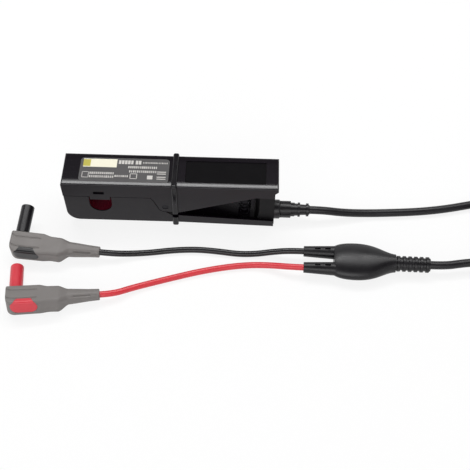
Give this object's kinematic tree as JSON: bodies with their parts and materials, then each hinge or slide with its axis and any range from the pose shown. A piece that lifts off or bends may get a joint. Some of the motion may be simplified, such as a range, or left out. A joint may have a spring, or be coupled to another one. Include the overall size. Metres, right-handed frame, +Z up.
{
  "type": "mini current clamp probe",
  "caption": "Spring-closed split-core current clamp with a squeeze lever, finger guard, coiled output cable, cable splitter and two right-angle safety plugs.",
  "frame": {"origin": "on the bench, under the middle of the clamp body", "axes": "+X along the body from the jaw nose to the cable end, -Y towards the front face, +Z up"},
  "size_m": [0.3518, 0.1034, 0.037],
  "materials": {
    "abs_black": "satin moulded ABS",
    "guard_gloss": "polished ABS",
    "jaw_plate_black": "fine texture",
    "label_film": "matt printed film",
    "grip_rubber": "matt fine grain",
    "core_iron": "laminated silicon steel",
    "foam": "closed-cell foam",
    "bobbin_nylon": "moulded nylon",
    "winding_copper": "enamelled copper wire",
    "wire_sheath": "PVC insulation",
    "board_green": "solder mask",
    "component_black": "epoxy",
    "resistor_tan": "lacquer",
    "trimmer_blue": "moulded",
    "screw_steel": "zinc plated steel",
    "bush_brass": "turned",
    "liner_red": "moulded polycarbonate",
    "boot_black": "soft PVC",
    "cable_pvc": "PVC jacket",
    "tie_black": "hook and loop strap",
    "clamp_nylon": "moulded nylon",
    "lead_black": "PVC jacket",
    "lead_red": "PVC jacket",
    "plug_grey": "fine texture",
    "plug_black": "moulded nylon",
    "plug_red": "moulded nylon",
    "contact_nickel": "nickel-plated brass"
  },
  "bodies": {
    "housing": {"upper_housing": "abs_black", "upper_guard": "guard_gloss", "upper_jaw_plate": "jaw_plate_black", "label_plate": "label_film", "grip_pad": "grip_rubber", "fixed_core": "core_iron", "core_pads": "foam", "coil_bobbin": "bobbin_nylon", "coil_winding": "winding_copper", "coil_wires": "wire_sheath", "circuit_board": "board_green", "rectifier": "component_black", "burden_resistor": "resistor_tan", "filter_capacitor": "component_black", "calibration_trimmer": "trimmer_blue", "electronics_screen": "jaw_plate_black", "screen_screws": "screw_steel", "board_screws": "screw_steel", "tail_block": "abs_black", "block_screw": "screw_steel", "strain_relief": "boot_black", "cable_inlet": "cable_pvc", "cable_clamp": "clamp_nylon", "output_wires": "wire_sheath", "pivot_pin": "screw_steel", "return_spring": "screw_steel", "main_cable_out": "cable_pvc", "main_cable_coil": "cable_pvc", "coil_tie": "tie_black", "main_cable_back": "cable_pvc", "splitter_body": "boot_black", "splitter_boot": "boot_black", "black_lead": "lead_black", "red_lead": "lead_red", "black_plug_body": "plug_grey", "black_plug_insert": "plug_black", "black_plug_shroud": "plug_black", "black_plug_contact": "contact_nickel", "red_plug_body": "plug_grey", "red_plug_insert": "plug_red", "red_plug_shroud": "plug_red", "red_plug_contact": "contact_nickel"},
    "lever": {"jaw_lever": "abs_black", "lower_guard": "guard_gloss", "pivot_bush": "bush_brass", "moving_core": "core_iron", "core_pad_lower": "foam", "jaw_liner": "liner_red", "jaw_cover_front": "jaw_plate_black", "jaw_cover_rear": "jaw_plate_black"}
  },
  "joints": [
    {"name": "jaw_pivot", "type": "hinge", "parent": "housing", "child": "lever", "pos_m": [-0.0033, 0, 0.0166], "axis": [0, -1, 0], "range_deg": [0, 17], "stiffness_Nm_per_rad": 0.3, "springref_deg": -28.65, "deforming": ["return_spring"]}
  ]
}
